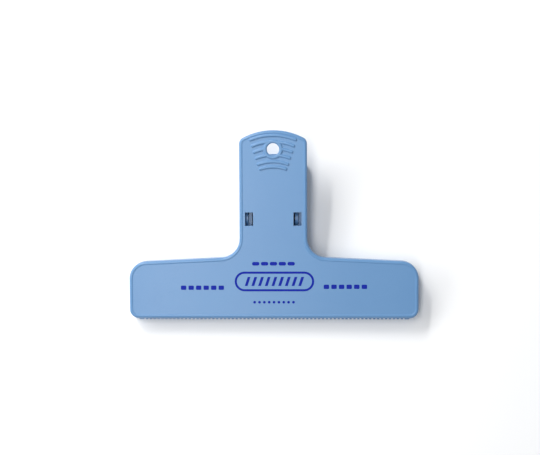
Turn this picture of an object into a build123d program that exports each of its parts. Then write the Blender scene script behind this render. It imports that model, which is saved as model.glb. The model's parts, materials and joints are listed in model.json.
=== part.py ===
"""T-shaped spring binder clip, lying on its rear shell. Millimetres.

Row frame: +X along the jaws, +Y from the jaws towards the handles, +Z up. The origin is on the surface
that the clip lies on, in the middle of its bounding box.

A shell is drawn in its own frame: x across it, y from the mouth towards the handle end, z inwards from the
outer face. Both shells have the same jaws, ears and section. The front one's handle is longer and has the
hanging hole, and only the front one has the two windows over the hinge. The front shell is drawn like the
rear one, and then turned half a turn about the clip's line of symmetry, which runs from the mouth line
through the hinge axis.
"""

from build123d import *

import os
from math import acos, asin, atan2, cos, hypot, pi, radians, sin, sqrt, tan

# --- shell outline -------------------------------------------------------------------------------------
JAW_HALF = 67.0  # half the jaw's length
JAW_TOP_INNER = 28.2  # height of the arm's upper edge where it would meet the handle
JAW_TOP_OUTER = 25.8  # and at the end of the jaw
NECK_HALF = 15.67  # half the handle's width at the fork
HANDLE_HALF = 15.62  # and at its end
FRONT_LENGTH = 86.7  # mouth edge to the crown of the end arc
REAR_LENGTH = 76.8
END_RISE = 4.4  # from the shoulders to the crown
FORK_RADIUS = 9.0
ARM_RADIUS = 8.0
MOUTH_RADIUS = 4.0
SHOULDER_RADIUS = 3.2

# --- shell section -------------------------------------------------------------------------------------
WALL = 2.0  # perimeter flange
PLATE_INNER = 2.5  # inner face of the plate
RIM = 4.2  # height of the flange round the jaws
HANDLE_RIM = 3.1  # and at the handle end, where it tapers off
PANEL_RECESS = 0.16  # the outer panel lies this far below the bead round its edge
BEAD_OUTER_ROUND = 1.0
BEAD_CREST_END = 1.15
BEAD_FOOT = 1.6
MOUTH_SLANT = 1.0  # the mouth wall leans out by this much at the rim

# --- closed position -----------------------------------------------------------------------------------
HALF_ANGLE = radians(5.0)  # between each shell and the plane that the jaws meet on
MOUTH_GAP = 0.03  # each lip stays this far from that plane
HINGE_Y = 45.8
HINGE_Z = RIM + HINGE_Y * tan(HALF_ANGLE)
RIM_GAP = 0.35  # the side walls stay this far from the hinge axis's plane

# --- toothed lip ---------------------------------------------------------------------------------------
LIP_REACH = 1.15
LIP_THICK = 1.1
LIP_HALF = JAW_HALF - MOUTH_RADIUS
TOOTH_PITCH = 1.83
TOOTH_GAP = 0.8
TOOTH_DEPTH = 0.55
LAND_GROOVE = 0.5

# --- thumb grip ----------------------------------------------------------------------------------------
HOLE_Y = 77.9
HOLE_RADIUS = 2.85
RING_RADIUS = 4.6
RIB_WIDTH = 1.6
RIB_ROUND = 0.65
RIB_PROUD = 0.3  # the ribs and the ring stand this far above the bead
RIB_ROWS = 6
RIB_END_DROP = 4.4  # from the crown to the top rib's ends
RIB_TOP_HALF = 10.4  # half its length
RIB_TOP_BEND = 27.0  # and its radius
RIB_PITCH = 2.8
RIB_LAST_PITCH = 2.2
RIB_HALF_STEP = 0.91
RIB_BEND_STEP = 1.8

# --- hinge ---------------------------------------------------------------------------------------------
WINDOW_INNER, WINDOW_OUTER = 9.3, 13.05
WINDOW_LENGTH = 6.25
WINDOW_DEPTH = 5.3  # the moulding core reaches this deep into the front shell's own ears
EAR_THICK = 1.45
EAR_PLUS, EAR_MINUS = 10.0, -13.1  # low side of each ear, so that the two shells' ears pass side by side
EAR_RADIUS = 4.4
EAR_FOOT_HALF = 7.0
PIN_RADIUS = 1.5
PIN_CLEARANCE = 0.05
PIN_HALF = 13.4
PIN_CHAMFER = 0.3

# --- spring --------------------------------------------------------------------------------------------
WIRE_RADIUS = 0.8
COIL_RADIUS = 3.3  # at the middle of the wire
COIL_HALF = 8.9  # from the middle to each leg
COIL_TURNS = 11  # whole turns before the legs' angle is taken off
LEG_REACH = 24.0  # from the hinge axis to the bend at the leg's end
LEG_BEND = 1.8
LEG_HOOK = 5.0
LEG_EASE = 4.0  # the leg takes up its own direction over this length
LEG_CLEARANCE = 0.05  # between the wire and the plate where the leg presses

# --- ribs inside the shell -----------------------------------------------------------------------------
RIB_THICK = 1.2
JAW_RIB_Y = 13.9
JAW_RIB_TOP = 3.2
CROSS_RIB_XS = (20.0, 34.0, 48.0)
CROSS_RIB_LOW = 0.0
HOLE_RIB_TOP = 4.2
HOLE_RIB_BACK = 1.1
HOLE_RIB_CLEAR = 0.4  # between the hole and the wall behind it
CHANNEL_GAP = 2.3  # between the two rails that guide the spring's leg
CHANNEL_START, CHANNEL_END = 58.3, 67.8
CHANNEL_TOP = 3.9

MIDDLE_Y = 41.934  # the middle of the clip's bounding box, in the rear shell's own frame
FAR = 200.0


def outline(length, mouth_y=0.0):
    """The T-shaped outline of a shell of this length, its mouth edge at mouth_y, as a face."""
    shoulder = length - END_RISE
    half = [
        (0, mouth_y),
        (JAW_HALF, mouth_y),
        (JAW_HALF, JAW_TOP_OUTER),
        (NECK_HALF, JAW_TOP_INNER),
        (HANDLE_HALF, shoulder),
    ]
    right = Polyline(*half)
    crown = ThreePointArc(half[-1], (0, length), (-HANDLE_HALF, shoulder))
    left = Polyline(*[(-x, y) for x, y in reversed(half)])
    face = make_face([*right.edges(), crown, *left.edges()])
    radii = {
        (JAW_HALF, mouth_y): MOUTH_RADIUS,
        (JAW_HALF, JAW_TOP_OUTER): ARM_RADIUS,
        (NECK_HALF, JAW_TOP_INNER): FORK_RADIUS,
        (HANDLE_HALF, shoulder): SHOULDER_RADIUS,
    }
    for (x, y), radius in radii.items():
        corners = [v for v in face.vertices() if abs(abs(v.X) - x) < 0.01 and abs(v.Y - y) < 0.01]
        face = fillet(corners, radius)
    return face


def level(face, z):
    """The face moved up to a height."""
    return Pos(0, 0, z) * face


def mouth_at(z):
    """Where the slanting mouth wall is at a depth."""
    return -MOUTH_SLANT * z / RIM


def block(x0, x1, y0, y1, z0, z1):
    """A box from its six limits."""
    return Pos((x0 + x1) / 2, (y0 + y1) / 2, (z0 + z1) / 2) * Box(x1 - x0, y1 - y0, z1 - z0)


def across(radius, length, x=0.0):
    """A cylinder along the hinge axis."""
    return Pos(x, HINGE_Y, HINGE_Z) * Rot(0, 90, 0) * Cylinder(radius, length)


def side_prism(points, x0, x1):
    """A prism across the shell, from points in its y and z."""
    profile = Plane.YZ * make_face(Polyline(*points, close=True))
    return Pos(x0, 0, 0) * extrude(profile, x1 - x0, dir=(1, 0, 0))


def outer_block(length):
    """The moulding's outside, with the rounded outer edge, before it is hollowed."""
    top = HINGE_Z + 1.0
    slant = level(outline(length, -MOUTH_SLANT), RIM)
    body = loft([outline(length), slant], ruled=True)
    body += extrude(slant, top - RIM)
    edge = body.faces().sort_by(Axis.Z)[0].outer_wire().edges()
    return fillet(edge, BEAD_OUTER_ROUND)


def cavity(length):
    """The hollow inside the flange."""
    low = offset(outline(length, mouth_at(PLATE_INNER)), -WALL)
    high = offset(outline(length, -MOUTH_SLANT), -WALL)
    return loft([level(low, PLATE_INNER), level(high, RIM)], ruled=True) + extrude(level(high, RIM), HINGE_Z)


def panel_pocket(length):
    """The shallow recess that leaves the bead round the outer face."""
    crest = offset(outline(length), -BEAD_CREST_END)
    foot = offset(outline(length), -BEAD_FOOT)
    return loft([crest, level(foot, PANEL_RECESS)], ruled=True)


def above_rim(length):
    """What is cut away above the flange's rim: level round the jaws, up to the hinge, down the handle."""
    peak_y, peak_z = HINGE_Y, HINGE_Z - RIM_GAP
    rise_y = JAW_TOP_INNER + 3.0
    points = [
        (-10, RIM - 10 * tan(HALF_ANGLE) - MOUTH_GAP),
        (0, RIM - MOUTH_GAP),
        (rise_y, RIM - MOUTH_GAP),
        (peak_y, peak_z),
        (length, HANDLE_RIM),
        (FAR, HANDLE_RIM),
        (FAR, FAR),
        (-10, FAR),
    ]
    return side_prism(points, -FAR, FAR)


def lip():
    """The flange along the mouth that the teeth are cut in."""
    depth = RIM - LIP_THICK
    contact = RIM - MOUTH_GAP
    points = [
        (mouth_at(depth) + 0.8, depth),
        (-LIP_REACH, depth),
        (-LIP_REACH, contact - LIP_REACH * tan(HALF_ANGLE)),
        (mouth_at(depth) + 0.8, contact + (mouth_at(depth) + 0.8) * tan(HALF_ANGLE)),
    ]
    bar = side_prism(points, -LIP_HALF, LIP_HALF)
    ends = bar.edges().filter_by(Axis.Z).filter_by(lambda e: e.center().Y < -LIP_REACH + 0.1)
    return fillet(ends, 0.6)


def tooth_gaps():
    """The gaps between the lip's teeth: through its front edge, and across the land that grips."""
    count = int(LIP_HALF / TOOTH_PITCH)
    gaps = []
    for k in range(-count + 1, count):
        x = k * TOOTH_PITCH
        low, high = x - TOOTH_GAP / 2, x + TOOTH_GAP / 2
        gaps.append(block(low, high, -LIP_REACH - 1, -LIP_REACH + TOOTH_DEPTH, 2, RIM + 1))
        gaps.append(block(low, high, -LIP_REACH - 1, WALL, RIM - LAND_GROOVE, RIM + 1))
    return gaps


def grip_rib(length, row):
    """One curved rib of the thumb grip, with a rounded top."""
    half = RIB_TOP_HALF - RIB_HALF_STEP * row
    bend = RIB_TOP_BEND - RIB_BEND_STEP * row
    end_y = length - RIB_END_DROP - RIB_PITCH * row
    if row == RIB_ROWS - 1:
        end_y += RIB_PITCH - RIB_LAST_PITCH
    rise = bend - sqrt(bend**2 - half**2)
    arc = ThreePointArc((-half, end_y), (0, end_y + rise), (half, end_y))
    rib = extrude(level(SlotArc(arc, RIB_WIDTH), -RIB_PROUD), RIB_PROUD + PANEL_RECESS + 0.2)
    return fillet(rib.faces().sort_by(Axis.Z)[0].edges(), RIB_ROUND)


def grip_ring():
    """The raised ring round the hanging hole."""
    height = RIB_PROUD + PANEL_RECESS + 0.2
    ring = Cylinder(RING_RADIUS, height) - Cylinder(HOLE_RADIUS, 10)
    ring = Pos(0, HOLE_Y, height / 2 - RIB_PROUD) * ring
    return fillet(ring.faces().sort_by(Axis.Z)[0].edges(), RIB_ROUND)


def ear(x_low):
    """A hinge ear: a lug that stands from the plate and carries the pin past the plane of symmetry."""
    foot = PLATE_INNER - 0.5
    rise = HINGE_Z - foot
    reach = hypot(EAR_FOOT_HALF, rise)
    tangent = acos(EAR_RADIUS / reach) - atan2(rise, EAR_FOOT_HALF)
    side, top = EAR_RADIUS * cos(tangent), EAR_RADIUS * sin(tangent)
    points = [
        (HINGE_Y - EAR_FOOT_HALF, foot),
        (HINGE_Y - side, HINGE_Z + top),
        (HINGE_Y + side, HINGE_Z + top),
        (HINGE_Y + EAR_FOOT_HALF, foot),
    ]
    lug = side_prism(points, x_low, x_low + EAR_THICK)
    return lug + across(EAR_RADIUS, EAR_THICK, x_low + EAR_THICK / 2)


def inner_ribs():
    """Stiffening ribs in the jaws, and the rails beside the spring's leg."""
    foot = PLATE_INNER - 0.5
    reach = JAW_HALF - WALL / 2
    ribs = [block(-reach, reach, JAW_RIB_Y, JAW_RIB_Y + RIB_THICK, foot, JAW_RIB_TOP)]
    for x in CROSS_RIB_XS:
        for side in (-1, 1):
            middle = side * x
            low, high = middle - RIB_THICK / 2, middle + RIB_THICK / 2
            ribs.append(block(low, high, CROSS_RIB_LOW, JAW_TOP_OUTER - 1, foot, JAW_RIB_TOP))
    for side in (-1, 1):
        for edge in (-1, 1):
            middle = side * COIL_HALF + edge * (CHANNEL_GAP + RIB_THICK) / 2
            low, high = middle - RIB_THICK / 2, middle + RIB_THICK / 2
            ribs.append(block(low, high, CHANNEL_START, CHANNEL_END, foot, CHANNEL_TOP))
    return ribs


def hanging_hole(body):
    """The body with the hole near its handle end: a raised ring round it and a wall behind it."""
    edge = HOLE_Y - HOLE_RADIUS - HOLE_RIB_CLEAR
    body -= Pos(0, HOLE_Y, PANEL_RECESS - 1) * Cylinder(RING_RADIUS - RIB_ROUND, 2)
    body += block(-NECK_HALF + 1, NECK_HALF - 1, edge - HOLE_RIB_BACK, edge, PLATE_INNER - 0.5, HOLE_RIB_TOP)
    body += grip_ring()
    return body - Pos(0, HOLE_Y, 0) * Cylinder(HOLE_RADIUS, 2 * PLATE_INNER)


def hinge_windows():
    """The two windows over the front shell's hinge ears."""
    y0, y1 = HINGE_Y - WINDOW_LENGTH / 2, HINGE_Y + WINDOW_LENGTH / 2
    limits = ((-WINDOW_OUTER, -WINDOW_INNER), (WINDOW_INNER, WINDOW_OUTER))
    return [block(x0, x1, y0, y1, -1, WINDOW_DEPTH) for x0, x1 in limits]


def shell(length, openings=()):
    """One moulded shell of this length, in its own frame, with these openings cut over its ears."""
    body = outer_block(length) - cavity(length) - above_rim(length)
    body = body + inner_ribs() + lip()
    body -= panel_pocket(length)
    body += [grip_rib(length, row) for row in range(RIB_ROWS)]
    body += [ear(EAR_PLUS), ear(EAR_MINUS)]
    for opening in openings:
        body -= opening
    body -= across(PIN_RADIUS + PIN_CLEARANCE, 2 * PIN_HALF)
    return body - tooth_gaps()


def largest(shape):
    """The biggest solid of a shape."""
    return shape.solids().sort_by(SortBy.VOLUME)[-1]


def hinge_pin():
    """The plain steel pin through all four ears, held endways by the side walls."""
    pin = across(PIN_RADIUS, 2 * PIN_HALF)
    return chamfer(pin.faces().filter_by(GeomType.PLANE).edges(), PIN_CHAMFER)


def half_turn(shape):
    """The shape turned half a turn about the clip's line of symmetry."""
    line = Axis((0, HINGE_Y, HINGE_Z), (0, cos(HALF_ANGLE), sin(HALF_ANGLE)))
    return shape.rotate(line, 180)


def torsion_spring():
    """The spring: a coil round the pin, and at each end a hooked leg that presses on a shell's handle."""
    press_z = PLATE_INNER + WIRE_RADIUS + LEG_CLEARANCE
    drop = HINGE_Z - press_z
    slope = asin(COIL_RADIUS / hypot(LEG_REACH, drop)) - atan2(drop, LEG_REACH)
    leave = slope - pi / 2
    turned = 2 * pi * COIL_TURNS + 2 * (leave - HALF_ANGLE)
    pitch = 2 * COIL_HALF * 2 * pi / turned
    start = Plane(
        (-COIL_HALF, HINGE_Y, HINGE_Z),
        x_dir=(0, cos(leave), sin(leave)),
        z_dir=(1, 0, 0),
    )
    turns = start * Helix(pitch, 2 * COIL_HALF, COIL_RADIUS, lefthand=True)
    coil = sweep(Plane(turns @ 0, z_dir=turns % 0) * Circle(WIRE_RADIUS), turns)
    tip = Vector(-COIL_HALF, HINGE_Y + LEG_REACH, press_z)
    along = (tip - turns @ 0).normalized()
    straight = turns @ 0 + along * LEG_EASE
    ease = Spline(turns @ 0, straight, tangents=[-(turns % 0), along])
    hook = FilletPolyline(straight, tip, tip + Vector(LEG_HOOK, 0, 0), radius=LEG_BEND)
    leg = sweep(Plane(turns @ 0, z_dir=-(turns % 0)) * Circle(WIRE_RADIUS), Wire([ease, *hook.edges()]))
    return leg + coil + half_turn(leg)


def main():
    """Build the four parts, put them on the row's origin and write one file for each."""
    parts = {
        "rear_shell": largest(shell(REAR_LENGTH)),
        "front_shell": half_turn(largest(hanging_hole(shell(FRONT_LENGTH, hinge_windows())))),
        "pivot_pin": hinge_pin(),
        "torsion_spring": torsion_spring(),
    }
    os.makedirs("parts", exist_ok=True)
    for name, part in parts.items():
        placed = Pos(0, -MIDDLE_Y, RIB_PROUD) * part
        placed.label = name
        export_step(placed, f"parts/{name}.step")
        box = placed.bounding_box()
        print(name, len(placed.solids()), placed.is_valid, round(placed.volume, 2), box)


main()
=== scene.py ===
"""Looks for the T-shaped spring clip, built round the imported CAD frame. Metres, +Z up."""

import json
import math

import bmesh
import bpy
from mathutils import Matrix, Vector


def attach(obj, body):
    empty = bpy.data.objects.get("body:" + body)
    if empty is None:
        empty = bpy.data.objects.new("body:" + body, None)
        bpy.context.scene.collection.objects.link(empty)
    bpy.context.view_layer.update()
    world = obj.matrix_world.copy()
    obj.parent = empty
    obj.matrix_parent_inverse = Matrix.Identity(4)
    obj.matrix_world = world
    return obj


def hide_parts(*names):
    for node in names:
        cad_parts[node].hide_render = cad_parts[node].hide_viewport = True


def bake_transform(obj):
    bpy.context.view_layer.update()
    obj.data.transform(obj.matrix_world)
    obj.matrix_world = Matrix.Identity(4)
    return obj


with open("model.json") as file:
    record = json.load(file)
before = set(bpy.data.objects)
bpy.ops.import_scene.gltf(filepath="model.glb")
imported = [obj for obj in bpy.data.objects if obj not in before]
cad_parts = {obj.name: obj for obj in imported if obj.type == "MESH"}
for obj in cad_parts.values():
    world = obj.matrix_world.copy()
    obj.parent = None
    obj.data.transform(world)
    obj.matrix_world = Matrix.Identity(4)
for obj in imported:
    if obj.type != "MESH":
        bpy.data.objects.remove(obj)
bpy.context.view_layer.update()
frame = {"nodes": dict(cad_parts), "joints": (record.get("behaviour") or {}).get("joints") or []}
nodes = frame["nodes"]
hinge = Vector(frame["joints"][0]["pos_m"])
scene = bpy.context.scene

MM = 0.001

# --- driving sizes that the CAD also has, in metres -----------------------------------------------------
HALF_ANGLE = math.radians(5.0)  # between each shell and the plane that the jaws meet on
LIFT = 0.3 * MM  # the rear shell's grip ribs hold its face this far off the table
HINGE_FROM_MOUTH = 45.8 * MM
PANEL_RECESS = 0.16 * MM  # the outer panel lies this far below the bead round its edge
PLATE_INNER = 2.5 * MM  # inner face of a shell's plate
WIRE_RADIUS = 0.8 * MM
COIL_RADIUS = 3.3 * MM  # at the middle of the wire
COIL_HALF = 8.9 * MM  # from the middle to each leg
COIL_TURNS = 11  # whole turns before the legs' angle is taken off
LEG_REACH = 24.0 * MM  # from the hinge axis to the bend at the leg's end
LEG_HOOK = 5.0 * MM
LEG_BEND = 1.8 * MM
LEG_EASE = 4.0 * MM  # the leg takes up its own direction over this length
LEG_CLEARANCE = 0.05 * MM  # between the wire and the plate where the leg presses
PRESS_Z = PLATE_INNER + WIRE_RADIUS + LEG_CLEARANCE + LIFT  # height of the rear leg's tip

# --- fineness of the wire's mesh -----------------------------------------------------------------------
WIRE_SIDES = 16
TURN_STEPS = 32
EASE_STEPS = 12
BEND_STEPS = 8
DOME_REACH = 0.25 * WIRE_RADIUS  # a domed end goes this far past the wire's path
DOME_RADIUS = 0.72 * WIRE_RADIUS  # and has this radius there

# --- print, in millimetres: x to the right, then up from the mouth edge --------------------------------
INK_TOP = 0.030  # the ink stands this far above the panel
INK_FOOT = -0.020  # and starts this far inside it
ARC_STEPS = 6  # in a quarter turn of a rounded corner
BADGE_LEFT, BADGE_RIGHT = -18.0, 18.8
BADGE_LOW, BADGE_HIGH = 12.3, 21.5
BADGE_ROUND = 4.6
BADGE_LINE = 1.0
BADGE_ARC_STEPS = 10
SLANT_COUNT, SLANT_LEFT, SLANT_PITCH = 9, -13.35, 3.1
SLANT_WIDTH, SLANT_LEAN = 1.3, 1.4
SLANT_LOW, SLANT_HIGH = 14.8, 19.0
BLOCK_ROWS = ((-43.0, 14.0), (23.2, 14.4))  # left edge of the first block, and the row's middle height
BLOCK_HALF_HEIGHT = 1.0

# --- colours -------------------------------------------------------------------------------------------
PLASTIC_LOW = (0.109, 0.248, 0.466, 1)
PLASTIC_HIGH = (0.120, 0.266, 0.488, 1)
PLASTIC_FLOW = (0.125, 0.271, 0.486, 1)
PLASTIC_GRAIN = (0.092, 0.219, 0.429, 1)
PLASTIC_SCUFF = (0.210, 0.350, 0.570, 1)
# lighter colour on rounded edges: partly wear, partly a painted highlight along the crests
PLASTIC_EDGE_WEAR_AND_HIGHLIGHT = (0.215, 0.375, 0.630, 1)
INK_DEEP = (0.001, 0.010, 0.27, 1)
INK_LIGHT = (0.004, 0.018, 0.33, 1)
INK_THIN = (0.05, 0.13, 0.40, 1)
PAPER_LOW = (0.90, 0.90, 0.905, 1)
PAPER_HIGH = (0.92, 0.92, 0.925, 1)
# each steel's dark lines, light lines and stains
# the pin's steel is near-black blue: painted shade, so the hinge seen through the windows looks as dark as
# shade
PIN_STEEL_DARKENED_AS_SHADE = ((0.008, 0.014, 0.034, 1), (0.020, 0.032, 0.065, 1), (0.040, 0.030, 0.030, 1))
DRAWN = ((0.240, 0.200, 0.160, 1), (0.420, 0.360, 0.290, 1), (0.235, 0.150, 0.085, 1))

# --- camera and light ----------------------------------------------------------------------------------
CAMERA_SENSOR, CAMERA_LENS = 36.0, 84.485  # millimetres
CAMERA_LEAN = math.radians(5.64)  # towards the mouth
CAMERA_SIDE = math.radians(2.12)  # to the right
CAMERA_ROLL = math.radians(0.09)
CAMERA_TARGET = Vector((-1.71 * MM, -0.794 * MM, 10.3 * MM))
CAMERA_DISTANCE = 590.0  # millimetres
FLOOR_SIZE = 3.0  # metres
# name, height in metres, left and back edges for each metre of height, watts, colour
PANELS = (
    ("overhead", 0.9, (0.05, 0.27), (-0.60, 0.35), 3.2, (1.0, 0.995, 0.985)),
    ("strip", 0.8, (0.50, 0.58), (0.70, 1.60), 9.0, (1.0, 0.99, 0.97)),
    ("window_near", 0.7, (0.62, 1.15), (0.45, 1.55), 7.4, (0.98, 0.99, 1.0)),
    ("window_far", 0.5, (1.15, 2.40), (-0.40, 0.80), 6.8, (0.98, 0.99, 1.0)),
)
FILL_COLOUR = (0.93, 0.96, 1.0, 1)
FILL_STRENGTH = 0.37


# --- node helpers --------------------------------------------------------------------------------------
class Tree:
    """Short calls for building a material's node tree."""

    def __init__(self, name):
        self.material = bpy.data.materials.new(name)
        self.material.use_nodes = True
        self.nodes = self.material.node_tree.nodes
        self.links = self.material.node_tree.links
        self.shader = self.nodes["Principled BSDF"]
        self.coords = self.add("ShaderNodeTexCoord").outputs["Object"]

    def add(self, kind, **settings):
        node = self.nodes.new(kind)
        for key, value in settings.items():
            setattr(node, key, value)
        return node

    def put(self, node, values):
        for key, value in values.items():
            if isinstance(value, bpy.types.NodeSocket):
                self.links.new(value, node.inputs[key])
            else:
                node.inputs[key].default_value = value
        return node

    def noise(self, scale, detail, rough, stretch=(1, 1, 1), shift=(0, 0, 0), distort=0.0):
        placing = {"Vector": self.coords, "Scale": stretch, "Location": shift}
        placed = self.put(self.add("ShaderNodeMapping"), placing)
        values = {
            "Vector": placed.outputs["Vector"],
            "Scale": scale,
            "Detail": detail,
            "Roughness": rough,
            "Distortion": distort,
        }
        return self.put(self.add("ShaderNodeTexNoise"), values).outputs["Fac"]

    def span(self, value, low, high, new_low=0.0, new_high=1.0):
        node = self.add("ShaderNodeMapRange")
        values = {"Value": value, "From Min": low, "From Max": high, "To Min": new_low, "To Max": new_high}
        return self.put(node, values).outputs["Result"]

    def math(self, kind, a, b, clamp=False):
        node = self.add("ShaderNodeMath", operation=kind, use_clamp=clamp)
        return self.put(node, {0: a, 1: b}).outputs["Value"]

    def mix(self, factor, a, b):
        """Colours a and b mixed. The node's colour sockets are its 6 and 7, and its colour output is 2."""
        node = self.add("ShaderNodeMix", data_type="RGBA")
        return self.put(node, {0: factor, 6: a, 7: b}).outputs[2]

    def bump(self, height, distance, strength=1.0, normal=None):
        values = {"Height": height, "Distance": distance, "Strength": strength}
        if normal is not None:
            values["Normal"] = normal
        return self.put(self.add("ShaderNodeBump"), values).outputs["Normal"]

    def edges(self, radius):
        """1 on edges and 0 on flat faces, from how far rounding the edges turns the normal."""
        flat, sharp = 0.99, 0.80  # cosines of that turn
        bevel = self.put(self.add("ShaderNodeBevel", samples=4), {"Radius": radius}).outputs["Normal"]
        plain = self.add("ShaderNodeNewGeometry").outputs["Normal"]
        dot = self.put(self.add("ShaderNodeVectorMath", operation="DOT_PRODUCT"), {0: bevel, 1: plain})
        return self.span(dot.outputs["Value"], flat, sharp)


def plastic(name, shift):
    """Satin moulded plastic: fine grain, faint flow lines and clouds, a few scuffs, and edges painted
    lighter, partly as wear and partly as a painted highlight along the bead and rib crests.
    """
    tree = Tree(name)
    clouds = tree.noise(26.0, 3.0, 0.55, shift=shift)
    grain = tree.noise(3400.0, 2.0, 0.6, shift=shift)
    flow = tree.noise(90.0, 4.0, 0.6, stretch=(0.25, 1.0, 1.0), shift=shift, distort=0.4)
    scuff_a = tree.noise(420.0, 3.0, 0.7, stretch=(1.0, 0.05, 0.3), shift=shift, distort=0.3)
    scuff_b = tree.noise(360.0, 3.0, 0.7, stretch=(0.06, 1.0, 0.3), shift=shift, distort=0.5)
    patches = tree.span(tree.noise(55.0, 2.0, 0.5, shift=(0.3, 0.1, 0.2)), 0.52, 0.70)
    scuffs = tree.math("MULTIPLY", tree.span(tree.math("MAXIMUM", scuff_a, scuff_b), 0.66, 0.74), patches)
    edge_wear_and_highlight = tree.edges(0.45 * MM)
    base = tree.mix(tree.span(clouds, 0.3, 0.7), PLASTIC_LOW, PLASTIC_HIGH)
    base = tree.mix(tree.span(flow, 0.35, 0.7, 0.0, 0.35), base, PLASTIC_FLOW)
    base = tree.mix(tree.span(grain, 0.35, 0.7, 0.0, 0.22), base, PLASTIC_GRAIN)
    base = tree.mix(tree.math("MULTIPLY", scuffs, 0.35), base, PLASTIC_SCUFF)
    # edges lightened in colour: partly rubbed wear, partly a painted highlight on the bead and rib crests
    base = tree.mix(tree.math("MULTIPLY", edge_wear_and_highlight, 0.60), base, PLASTIC_EDGE_WEAR_AND_HIGHLIGHT)
    rough = tree.span(clouds, 0.3, 0.7, 0.28, 0.33)
    rough = tree.math("ADD", rough, tree.span(grain, 0.3, 0.7, -0.02, 0.03))
    rough = tree.math("ADD", rough, tree.math("MULTIPLY", scuffs, 0.10))
    rough = tree.math("SUBTRACT", rough, tree.math("MULTIPLY", edge_wear_and_highlight, 0.05), clamp=True)
    normal = tree.bump(grain, 0.012 * MM)
    normal = tree.bump(flow, 0.05 * MM, 0.6, normal)
    normal = tree.bump(scuffs, 0.01 * MM, 0.8, normal)
    tree.put(tree.shader, {"Base Color": base, "Roughness": rough, "Normal": normal, "IOR": 1.49})
    return tree.material


def steel(name, dark, light, stain, stretch, rough_low, rough_high):
    """Steel with fine lines, drawn out where stretch is small, and rougher stained patches."""
    tree = Tree(name)
    lines = tree.noise(2600.0, 3.0, 0.65, stretch=stretch)
    blotch = tree.noise(240.0, 3.0, 0.6)
    base = tree.mix(tree.span(lines, 0.3, 0.7), dark, light)
    base = tree.mix(tree.span(blotch, 0.45, 0.75, 0.0, 0.55), base, stain)
    rough = tree.span(lines, 0.3, 0.7, rough_low, rough_high)
    rough = tree.math("ADD", rough, tree.span(blotch, 0.45, 0.75, 0.0, 0.12))
    normal = tree.bump(lines, 0.006 * MM)
    tree.put(tree.shader, {"Base Color": base, "Metallic": 1.0, "Roughness": rough, "Normal": normal})
    return tree.material


def ink(name):
    """Pad-printed ink: deep blue, slightly uneven, thinner in pinholes."""
    tree = Tree(name)
    mottle = tree.noise(900.0, 3.0, 0.6)
    pinholes = tree.span(tree.noise(2600.0, 1.0, 0.5), 0.70, 0.78)
    base = tree.mix(tree.span(mottle, 0.3, 0.7), INK_DEEP, INK_LIGHT)
    base = tree.mix(tree.math("MULTIPLY", pinholes, 0.6), base, INK_THIN)
    rough = tree.span(mottle, 0.3, 0.7, 0.42, 0.54)
    normal = tree.bump(mottle, 0.006 * MM)
    tree.put(tree.shader, {"Base Color": base, "Roughness": rough, "Normal": normal})
    tree.put(tree.shader, {"Specular IOR Level": 0.15})
    return tree.material


def floor_paper(name):
    """White table surface with a barely visible tooth."""
    tree = Tree(name)
    tooth = tree.noise(900.0, 4.0, 0.6)
    cloud = tree.noise(6.0, 2.0, 0.5)
    base = tree.mix(tree.span(cloud, 0.3, 0.7), PAPER_LOW, PAPER_HIGH)
    normal = tree.bump(tooth, 0.01 * MM, 0.5)
    tree.put(tree.shader, {"Base Color": base, "Roughness": 0.6, "Normal": normal})
    return tree.material


# --- camera --------------------------------------------------------------------------------------------
def add_camera():
    """A camera above the clip, leaning a little towards the mouth and to the right."""
    data = bpy.data.cameras.new("camera")
    data.sensor_width = CAMERA_SENSOR
    data.lens = CAMERA_LENS
    data.clip_start = 0.05
    data.clip_end = 10.0
    camera = bpy.data.objects.new("camera", data)
    back = Vector((math.sin(CAMERA_SIDE), -math.sin(CAMERA_LEAN), 0.0))
    back.z = math.sqrt(1.0 - back.length_squared)
    up = (Vector((0, 1, 0)) - back.y * back).normalized()
    right = up.cross(back)
    turned_right = right * math.cos(CAMERA_ROLL) + up * math.sin(CAMERA_ROLL)
    turned_up = up * math.cos(CAMERA_ROLL) - right * math.sin(CAMERA_ROLL)
    place = CAMERA_TARGET + back * CAMERA_DISTANCE * MM
    turn = Matrix((turned_right, turned_up, back)).transposed().to_4x4()
    camera.matrix_world = Matrix.Translation(place) @ turn
    scene.collection.objects.link(camera)
    scene.camera = camera


# --- light ---------------------------------------------------------------------------------------------
def add_panel(name, height, left, back, power, colour):
    """A level panel of light. Its edges are this far left and back of the clip for each metre of height."""
    data = bpy.data.lights.new(name, "AREA")
    data.shape = "RECTANGLE"
    data.size = (left[1] - left[0]) * height
    data.size_y = (back[1] - back[0]) * height
    data.energy = power
    data.color = colour
    panel = bpy.data.objects.new(name, data)
    panel.location = (-(left[0] + left[1]) / 2 * height, (back[0] + back[1]) / 2 * height, height)
    scene.collection.objects.link(panel)


def add_surroundings():
    """A pale table, the four panels of light, and an even fill."""
    bpy.ops.mesh.primitive_plane_add(size=FLOOR_SIZE, location=(0, 0, 0))
    floor = bpy.context.object
    floor.name = "floor"
    floor.data.materials.append(floor_paper("floor_white"))
    for panel in PANELS:
        add_panel(*panel)
    world = bpy.data.worlds.new("world")
    scene.world = world
    world.use_nodes = True
    background = world.node_tree.nodes["Background"]
    background.inputs["Color"].default_value = FILL_COLOUR
    background.inputs["Strength"].default_value = FILL_STRENGTH
    scene.view_settings.view_transform = "Standard"
    scene.view_settings.look = "None"


# --- objects -------------------------------------------------------------------------------------------
def dress(node, material):
    """The node keeps its CAD mesh and gets a finished material."""
    node.data.materials.clear()
    node.data.materials.append(material)


def add_mesh(name, mesh, material):
    """A new object with this mesh and material."""
    data = bpy.data.meshes.new(name)
    mesh.to_mesh(data)
    mesh.free()
    data.materials.append(material)
    made = bpy.data.objects.new(name, data)
    scene.collection.objects.link(made)
    return made


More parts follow.
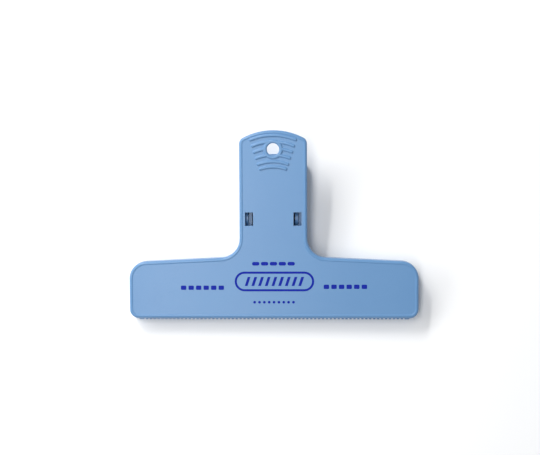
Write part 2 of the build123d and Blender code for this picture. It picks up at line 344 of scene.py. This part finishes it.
# --- spring --------------------------------------------------------------------------------------------
def quarter_arc(centre, first, second):
    """Points on a quarter of a circle, from centre + first to centre + second."""
    points = []
    for k in range(BEND_STEPS + 1):
        angle = math.pi / 2 * k / BEND_STEPS
        points.append(centre + first * math.cos(angle) + second * math.sin(angle))
    return points


def mirrored(point):
    """A point turned half a turn about the clip's line of symmetry, which runs through the hinge axis."""
    along = Vector((0, math.cos(HALF_ANGLE), math.sin(HALF_ANGLE)))
    offset = point - hinge
    return hinge + 2.0 * offset.dot(along) * along - offset


def coil_path():
    """The middle of the wire round the pin, from the rear leg to the front one."""
    drop = hinge.z - PRESS_Z
    slope = math.asin(COIL_RADIUS / math.hypot(LEG_REACH, drop)) - math.atan2(drop, LEG_REACH)
    leave = slope - math.pi / 2
    turned = 2 * math.pi * COIL_TURNS + 2 * (leave - HALF_ANGLE)
    points = []
    count = TURN_STEPS * COIL_TURNS
    for k in range(count + 1):
        part = k / count
        angle = leave - turned * part
        x = COIL_HALF * (2 * part - 1)
        points.append(hinge + Vector((x, COIL_RADIUS * math.cos(angle), COIL_RADIUS * math.sin(angle))))
    return points


def leg_path(coil):
    """The rear leg: from the coil's start, eased into a straight line, then bent along +X at the tip."""
    start = coil[0]
    leaving = (coil[0] - coil[1]).normalized()
    tip = Vector((-COIL_HALF, hinge.y + LEG_REACH, PRESS_Z))
    along = (tip - start).normalized()
    straight = start + along * LEG_EASE
    points = []
    for k in range(EASE_STEPS + 1):
        t = k / EASE_STEPS
        near = (2 * t**3 - 3 * t**2 + 1) * start + (3 * t**2 - 2 * t**3) * straight
        lean = (t**3 - 2 * t**2 + t) * LEG_EASE * leaving + (t**3 - t**2) * LEG_EASE * along
        points.append(near + lean)
    aside = Vector((1, 0, 0))
    centre = tip - along * LEG_BEND + aside * LEG_BEND
    points += quarter_arc(centre, -aside * LEG_BEND, along * LEG_BEND)
    points.append(tip + aside * LEG_HOOK)
    return points


def wire(name, path, material):
    """A round wire swept along a path of points, with domed ends. It takes the CAD spring's place."""
    count = len(path)
    tangents = []
    for k in range(count):
        tangents.append((path[min(k + 1, count - 1)] - path[max(k - 1, 0)]).normalized())
    normal = tangents[0].orthogonal().normalized()
    rings = []
    for k in range(count):
        if k:
            normal = tangents[k - 1].rotation_difference(tangents[k]) @ normal
        rings.append((path[k], tangents[k], normal, WIRE_RADIUS))
    first, last = rings[0], rings[-1]
    rings.insert(0, (first[0] - first[1] * DOME_REACH, first[1], first[2], DOME_RADIUS))
    rings.append((last[0] + last[1] * DOME_REACH, last[1], last[2], DOME_RADIUS))
    mesh = bmesh.new()
    loops = []
    for place, tangent, side, radius in rings:
        other = tangent.cross(side)
        loop = []
        for k in range(WIRE_SIDES):
            angle = 2 * math.pi * k / WIRE_SIDES
            out = side * math.cos(angle) + other * math.sin(angle)
            loop.append(mesh.verts.new(place + out * radius))
        loops.append(loop)
    for low, high in zip(loops, loops[1:]):
        for k in range(WIRE_SIDES):
            after = (k + 1) % WIRE_SIDES
            face = mesh.faces.new((low[k], low[after], high[after], high[k]))
            face.smooth = True
    mesh.faces.new(list(reversed(loops[0])))
    mesh.faces.new(loops[-1])
    made = add_mesh(name, mesh, material)
    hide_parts("torsion_spring")
    return made


def add_spring(material):
    """The spring as one wire in three pieces: a leg that stays with each shell, and the coil between."""
    coil_line = coil_path()
    leg_line = leg_path(coil_line)
    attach(wire("spring_leg_rear", leg_line, material), "rear")
    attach(wire("spring_leg_front", [mirrored(p) for p in leg_line], material), "front")
    coil = wire("spring_coil", coil_line, material)
    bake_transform(coil)


# --- print on the front panel --------------------------------------------------------------------------
def on_panel(x, up, lift):
    """A point over the front shell's panel: at x, up from the mouth edge, lifted off the panel."""
    along = Vector((0, math.cos(2 * HALF_ANGLE), math.sin(2 * HALF_ANGLE)))
    out = Vector((0, -math.sin(2 * HALF_ANGLE), math.cos(2 * HALF_ANGLE)))
    panel = hinge.z - LIFT - PANEL_RECESS  # from the hinge axis
    point = Vector((x * MM, 0, 0)) + along * (up * MM - HINGE_FROM_MOUTH) + out * (panel + lift * MM)
    return hinge + point


def slab(mesh, points):
    """A printed patch: a thin prism over a closed outline, given anticlockwise."""
    top = [mesh.verts.new(on_panel(x, up, INK_TOP)) for x, up in points]
    foot = [mesh.verts.new(on_panel(x, up, INK_FOOT)) for x, up in points]
    mesh.faces.new(top)
    mesh.faces.new(list(reversed(foot)))
    for k in range(len(points)):
        after = (k + 1) % len(points)
        mesh.faces.new((foot[k], foot[after], top[after], top[k]))


def frame_line(mesh, outer, inner):
    """A printed line between two closed outlines with the same number of points."""
    count = len(outer)
    for k in range(count):
        after = (k + 1) % count
        slab(mesh, (outer[k], outer[after], inner[after], inner[k]))


def rounded(x0, x1, y0, y1, radius, steps=ARC_STEPS):
    """A rounded rectangle, anticlockwise."""
    # each corner's x and y, and the angle at which its arc starts
    corners = ((x1, y0, -90), (x1, y1, 0), (x0, y1, 90), (x0, y0, 180))
    points = []
    for x, y, start in corners:
        cx = x - math.copysign(radius, x - (x0 + x1) / 2)
        cy = y - math.copysign(radius, y - (y0 + y1) / 2)
        for k in range(steps + 1):
            angle = math.radians(start + 90 * k / steps)
            points.append((cx + radius * math.cos(angle), cy + radius * math.sin(angle)))
    return points


def printed(name, build, material):
    """One printed piece that rides on the front shell."""
    mesh = bmesh.new()
    build(mesh)
    made = add_mesh(name, mesh, material)
    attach(made, "front")


def row(mesh, count, left, pitch, width, low, high, radius):
    """A row of equal rounded patches, the first one's left edge at left."""
    for k in range(count):
        x = left + pitch * k
        slab(mesh, rounded(x, x + width, low, high, radius))


def print_badge(mesh):
    """A long rounded frame with slanting bars in it."""
    line, steps = BADGE_LINE, BADGE_ARC_STEPS
    left, right, low, high = BADGE_LEFT, BADGE_RIGHT, BADGE_LOW, BADGE_HIGH
    outer = rounded(left, right, low, high, BADGE_ROUND, steps)
    inner = rounded(left + line, right - line, low + line, high - line, BADGE_ROUND - line, steps)
    frame_line(mesh, outer, inner)
    for k in range(SLANT_COUNT):
        x0 = SLANT_LEFT + SLANT_PITCH * k
        x1 = x0 + SLANT_WIDTH
        foot = ((x0, SLANT_LOW), (x1, SLANT_LOW))
        head = ((x1 + SLANT_LEAN, SLANT_HIGH), (x0 + SLANT_LEAN, SLANT_HIGH))
        slab(mesh, foot + head)


def print_upper_bars(mesh):
    """A row of short rounded bars above the badge."""
    row(mesh, count=5, left=-9.9, pitch=4.1, width=3.4, low=24.3, high=26.0, radius=0.8)


def print_side_blocks(mesh):
    """Two rows of small rounded blocks, left and right of the badge."""
    for left, middle in BLOCK_ROWS:
        low, high = middle - BLOCK_HALF_HEIGHT, middle + BLOCK_HALF_HEIGHT
        row(mesh, count=6, left=left, pitch=3.5, width=2.5, low=low, high=high, radius=0.45)


def print_lower_dots(mesh):
    """A row of dots below the badge."""
    row(mesh, count=9, left=-9.42, pitch=2.25, width=1.24, low=6.6, high=7.84, radius=0.6)


add_camera()
add_surroundings()
dress(nodes["front_shell"], plastic("front_shell_plastic", (0.0, 0.0, 0.0)))
dress(nodes["rear_shell"], plastic("rear_shell_plastic", (0.4, 0.2, 0.1)))
# the pin gets the darkened steel, which paints shade into the windows
dress(nodes["pivot_pin"], steel("pin_steel", *PIN_STEEL_DARKENED_AS_SHADE, (0.04, 1, 1), 0.30, 0.42))
add_spring(steel("wire_steel", *DRAWN, (1, 1, 1), 0.28, 0.42))
blue = ink("print_blue")
printed("print_badge", print_badge, blue)
printed("print_upper_bars", print_upper_bars, blue)
printed("print_side_blocks", print_side_blocks, blue)
printed("print_lower_dots", print_lower_dots, blue)
